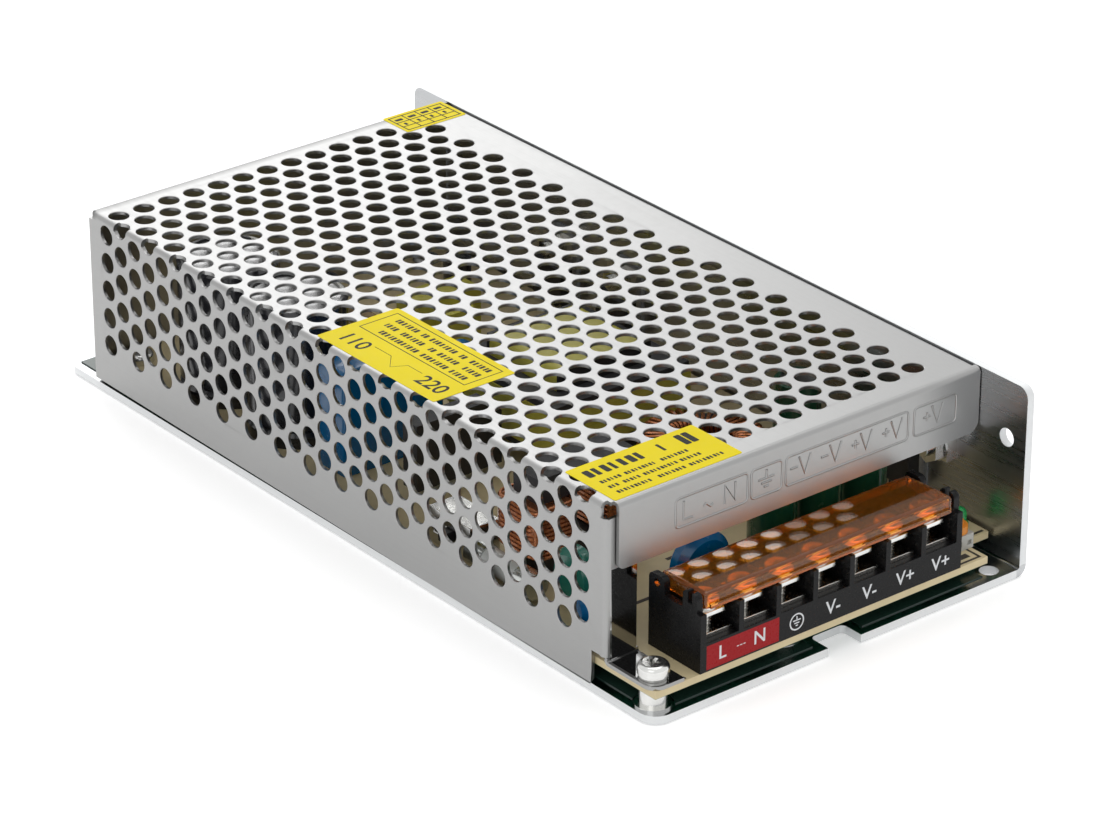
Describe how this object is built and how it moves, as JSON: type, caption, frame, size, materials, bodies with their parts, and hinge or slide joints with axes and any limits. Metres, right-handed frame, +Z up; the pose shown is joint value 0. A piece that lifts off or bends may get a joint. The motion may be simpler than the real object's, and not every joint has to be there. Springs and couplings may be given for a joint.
{
  "type": "enclosed power supply",
  "caption": "Enclosed switching power supply: perforated folded cover on an L-shaped chassis, screw terminal block with hinged clear lid, board with its components",
  "frame": {"origin": "middle of the case's footprint on the underside of the chassis", "axes": "+Z up, the terminals face -Y, the plain side wall of the chassis is on +X"},
  "size_m": [0.098, 0.199, 0.042],
  "materials": {
    "aluminium_plate": "bare rolled plate, mirror bright inside",
    "cover_sheet": "satin sheet",
    "zinc_steel": "bright zinc",
    "black_plastic": "moulded, slightly glossy",
    "amber_plastic": "clear amber moulding",
    "circuit_board": "cream laminate",
    "clear_film": "thin insulating film",
    "light_grey_plastic": "moulded",
    "orange_plastic": "moulded",
    "green_lens": "tinted clear",
    "blue_epoxy": "dipped coating",
    "green_epoxy": "dipped coating",
    "capacitor_sleeve": "shrunk sleeve",
    "green_sleeve": "shrunk sleeve",
    "ferrite": "sintered",
    "copper_wire": "enamelled copper",
    "yellow_tape": "polyester tape",
    "tinned_wire": "tinned",
    "resistor_coat": "lacquered",
    "fuse_glass": "tube with end caps",
    "grey_pad": "silicone sheet"
  },
  "bodies": {
    "main": {"chassis": "aluminium_plate", "insulation_sheet": "clear_film", "circuit_board": "circuit_board", "board_standoffs": "zinc_steel", "board_screws": "zinc_steel", "cover": "cover_sheet", "cover_side_screws": "zinc_steel", "tab_screw": "zinc_steel", "tab_spring_washer": "zinc_steel", "terminal_block": "black_plastic", "terminal_contacts": "tinned_wire", "voltage_trimmer_body": "light_grey_plastic", "status_led": "green_lens", "selector_body": "zinc_steel", "film_capacitor": "blue_epoxy", "thermistor": "green_epoxy", "varistor": "blue_epoxy", "safety_capacitors": "blue_epoxy", "fuse": "fuse_glass", "filter_choke_core": "ferrite", "filter_choke_windings": "copper_wire", "bridge_rectifier": "black_plastic", "transformer_core": "ferrite", "transformer_winding": "yellow_tape", "transformer_bobbin": "black_plastic", "transformer_tape": "yellow_tape", "drive_transformer": "ferrite", "output_choke_core": "ferrite", "output_choke_winding": "copper_wire", "output_capacitors": "green_sleeve", "small_capacitors": "capacitor_sleeve", "control_chip": "black_plastic", "resistors": "resistor_coat", "component_leads": "tinned_wire", "output_rectifier": "black_plastic", "switching_transistors": "black_plastic", "insulating_pads": "grey_pad", "device_clip": "zinc_steel", "device_screws": "zinc_steel", "device_washers": "zinc_steel", "device_nuts": "zinc_steel", "bulk_capacitor_1": "capacitor_sleeve", "bulk_capacitor_2": "capacitor_sleeve"},
    "terminal_lid": {"terminal_cover": "amber_plastic"},
    "trimmer_rotor": {"voltage_trimmer_rotor": "orange_plastic"},
    "selector_knob": {"selector_slider": "black_plastic"},
    "clamp_1": {"terminal_clamp_1": "zinc_steel"},
    "screw_1": {"terminal_screw_1": "zinc_steel"},
    "clamp_2": {"terminal_clamp_2": "zinc_steel"},
    "screw_2": {"terminal_screw_2": "zinc_steel"},
    "clamp_3": {"terminal_clamp_3": "zinc_steel"},
    "screw_3": {"terminal_screw_3": "zinc_steel"},
    "clamp_4": {"terminal_clamp_4": "zinc_steel"},
    "screw_4": {"terminal_screw_4": "zinc_steel"},
    "clamp_5": {"terminal_clamp_5": "zinc_steel"},
    "screw_5": {"terminal_screw_5": "zinc_steel"},
    "clamp_6": {"terminal_clamp_6": "zinc_steel"},
    "screw_6": {"terminal_screw_6": "zinc_steel"},
    "clamp_7": {"terminal_clamp_7": "zinc_steel"},
    "screw_7": {"terminal_screw_7": "zinc_steel"}
  },
  "joints": [
    {"name": "terminal_lid_hinge", "type": "hinge", "parent": "main", "child": "terminal_lid", "pos_m": [0, -0.0858, 0.0217], "axis": [-1, 0, 0], "range_deg": [0, 62]},
    {"name": "trimmer_turn", "type": "hinge", "parent": "main", "child": "trimmer_rotor", "pos_m": [0.037, -0.0915, 0.0105], "axis": [0, 0, 1], "range_deg": [-135, 135]},
    {"name": "selector_slide", "type": "slide", "parent": "main", "child": "selector_knob", "axis": [0, 1, 0], "range_m": [0, 0.004]},
    {"name": "clamp_slide_1", "type": "slide", "parent": "main", "child": "clamp_1", "axis": [0, 0, 1], "range_m": [-0.0021, 0]},
    {"name": "screw_turn_1", "type": "hinge", "parent": "clamp_1", "child": "screw_1", "pos_m": [-0.0312, -0.093, 0.019], "axis": [0, 0, 1], "range_deg": [-1260, 0]},
    {"name": "clamp_slide_2", "type": "slide", "parent": "main", "child": "clamp_2", "axis": [0, 0, 1], "range_m": [-0.0021, 0]},
    {"name": "screw_turn_2", "type": "hinge", "parent": "clamp_2", "child": "screw_2", "pos_m": [-0.0217, -0.093, 0.019], "axis": [0, 0, 1], "range_deg": [-1260, 0]},
    {"name": "clamp_slide_3", "type": "slide", "parent": "main", "child": "clamp_3", "axis": [0, 0, 1], "range_m": [-0.0021, 0]},
    {"name": "screw_turn_3", "type": "hinge", "parent": "clamp_3", "child": "screw_3", "pos_m": [-0.0122, -0.093, 0.019], "axis": [0, 0, 1], "range_deg": [-1260, 0]},
    {"name": "clamp_slide_4", "type": "slide", "parent": "main", "child": "clamp_4", "axis": [0, 0, 1], "range_m": [-0.0021, 0]},
    {"name": "screw_turn_4", "type": "hinge", "parent": "clamp_4", "child": "screw_4", "pos_m": [-0.0027, -0.093, 0.019], "axis": [0, 0, 1], "range_deg": [-1260, 0]},
    {"name": "clamp_slide_5", "type": "slide", "parent": "main", "child": "clamp_5", "axis": [0, 0, 1], "range_m": [-0.0021, 0]},
    {"name": "screw_turn_5", "type": "hinge", "parent": "clamp_5", "child": "screw_5", "pos_m": [0.0068, -0.093, 0.019], "axis": [0, 0, 1], "range_deg": [-1260, 0]},
    {"name": "clamp_slide_6", "type": "slide", "parent": "main", "child": "clamp_6", "axis": [0, 0, 1], "range_m": [-0.0021, 0]},
    {"name": "screw_turn_6", "type": "hinge", "parent": "clamp_6", "child": "screw_6", "pos_m": [0.0163, -0.093, 0.019], "axis": [0, 0, 1], "range_deg": [-1260, 0]},
    {"name": "clamp_slide_7", "type": "slide", "parent": "main", "child": "clamp_7", "axis": [0, 0, 1], "range_m": [-0.0021, 0]},
    {"name": "screw_turn_7", "type": "hinge", "parent": "clamp_7", "child": "screw_7", "pos_m": [0.0258, -0.093, 0.019], "axis": [0, 0, 1], "range_deg": [-1260, 0]}
  ],
  "couplings": [
    {"joint": "screw_turn_1", "follows": "clamp_slide_1", "rad_per_m": 10472},
    {"joint": "screw_turn_2", "follows": "clamp_slide_2", "rad_per_m": 10472},
    {"joint": "screw_turn_3", "follows": "clamp_slide_3", "rad_per_m": 10472},
    {"joint": "screw_turn_4", "follows": "clamp_slide_4", "rad_per_m": 10472},
    {"joint": "screw_turn_5", "follows": "clamp_slide_5", "rad_per_m": 10472},
    {"joint": "screw_turn_6", "follows": "clamp_slide_6", "rad_per_m": 10472},
    {"joint": "screw_turn_7", "follows": "clamp_slide_7", "rad_per_m": 10472}
  ]
}
